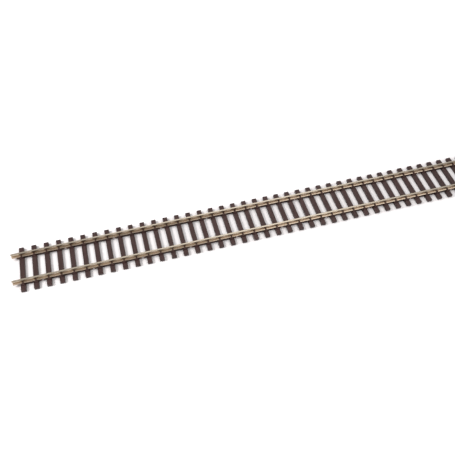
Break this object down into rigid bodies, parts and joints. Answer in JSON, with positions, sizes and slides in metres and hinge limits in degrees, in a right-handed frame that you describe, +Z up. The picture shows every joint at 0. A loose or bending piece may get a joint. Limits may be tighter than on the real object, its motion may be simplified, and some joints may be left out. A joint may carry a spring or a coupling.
{
  "type": "model track section",
  "caption": "Straight length of flexible model railway track: two metal rails sliding in the chairs of a row of hooked, moulded wood-grained sleeper panels, 16.5 mm gauge.",
  "frame": {"origin": "on the ground, under the middle of the rails' length and midway between the two rails", "axes": "+X along the track, from the end with the bare stub to the end where the row's last tongue is cut off; +Y towards the left rail; +Z up, out of the rail heads"},
  "size_m": [0.335, 0.0286, 0.0042],
  "materials": {
    "rail_metal": "drawn nickel silver, a brass alloy with a warm grey colour, satin",
    "sleeper_plastic": "moulded dark brown plastic with wood grain"
  },
  "bodies": {
    "sleeper_base": {"sleeper_panel_01": "sleeper_plastic", "sleeper_panel_02": "sleeper_plastic", "sleeper_panel_03": "sleeper_plastic", "sleeper_panel_04": "sleeper_plastic", "sleeper_panel_05": "sleeper_plastic", "sleeper_panel_06": "sleeper_plastic"},
    "left_rail": {"left_rail": "rail_metal"},
    "right_rail": {"right_rail": "rail_metal"}
  },
  "joints": [
    {"name": "left_rail_slide", "type": "slide", "parent": "sleeper_base", "child": "left_rail", "axis": [1, 0, 0], "range_m": [-0.0067, 0.0067]},
    {"name": "right_rail_slide", "type": "slide", "parent": "sleeper_base", "child": "right_rail", "axis": [1, 0, 0], "range_m": [-0.0067, 0.0067]}
  ]
}
